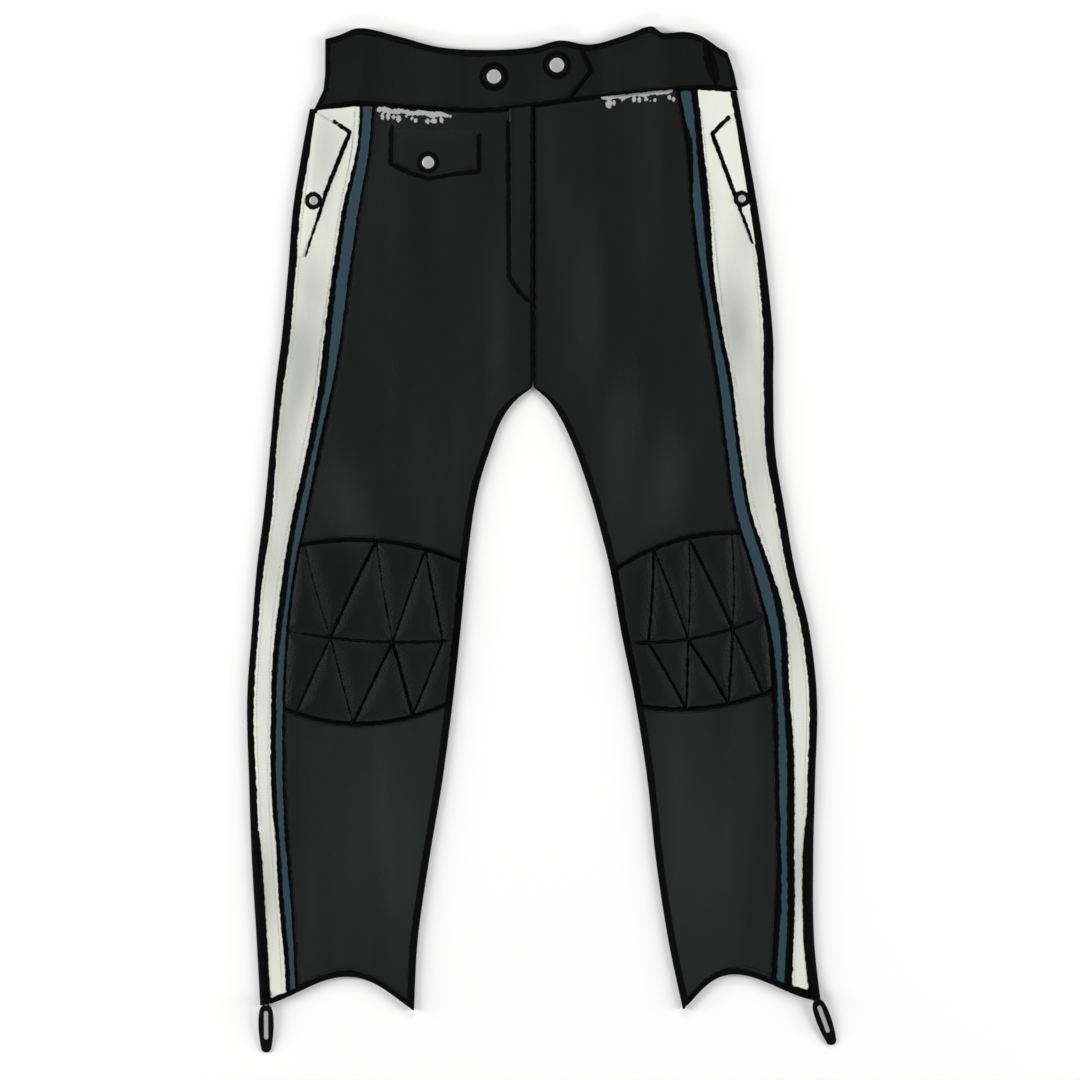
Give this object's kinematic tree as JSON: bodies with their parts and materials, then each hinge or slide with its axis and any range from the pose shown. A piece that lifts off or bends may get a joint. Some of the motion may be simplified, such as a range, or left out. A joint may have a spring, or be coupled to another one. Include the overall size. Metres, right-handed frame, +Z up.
{
  "type": "biker trousers",
  "caption": "Black leather biker trousers laid flat, with white and blue side strips, quilted knees, a tabbed waistband, flap pockets and ankle zips with long pulls.",
  "frame": {"origin": "on the surface the trousers lie on, under the middle of their outline", "axes": "+X across to the wearer's left leg, +Y from the hems to the waistband, +Z up from the surface to the front of the trousers"},
  "size_m": [0.6184, 1.0754, 0.0129],
  "materials": {
    "black_leather": "soft satin",
    "band_leather": "soft satin",
    "knee_leather": "soft satin",
    "white_leather": "satin, a little soiled",
    "blue_leather": "satin",
    "zip_fabric": "woven tape with closed teeth",
    "nickel": "dulled nickel",
    "gunmetal": "dark plated metal"
  },
  "bodies": {
    "trousers": {"back_right": "black_leather", "back_left": "black_leather", "front_upper_right": "black_leather", "front_upper_left": "black_leather", "knee_right": "knee_leather", "knee_left": "knee_leather", "front_lower_right": "black_leather", "front_lower_left": "black_leather", "white_strip_right": "white_leather", "white_strip_left": "white_leather", "blue_strip_right": "blue_leather", "blue_strip_left": "blue_leather", "zip_tape_right": "zip_fabric", "zip_tape_left": "zip_fabric", "pocket_flap_right": "white_leather", "pocket_flap_left": "white_leather", "band_back": "band_leather", "band_front_left": "band_leather", "band_front_right": "band_leather", "fly_placket": "black_leather", "coin_flap": "black_leather", "stud_band": "nickel", "stud_tab": "nickel", "stud_coin_flap": "nickel", "stud_pocket_right": "nickel", "stud_pocket_left": "nickel", "slider_right": "gunmetal", "slider_left": "gunmetal"},
    "right_pull": {"pull_right": "nickel"},
    "left_pull": {"pull_left": "nickel"}
  },
  "joints": [
    {"name": "right_pull_hinge", "type": "hinge", "parent": "trousers", "child": "right_pull", "pos_m": [-0.28911, -0.48039, 0.0107], "axis": [-1, 0, 0], "range_deg": [0, 180]},
    {"name": "left_pull_hinge", "type": "hinge", "parent": "trousers", "child": "left_pull", "pos_m": [0.286, -0.47575, 0.0107], "axis": [-0.9397, -0.342, 0], "range_deg": [0, 180]}
  ]
}
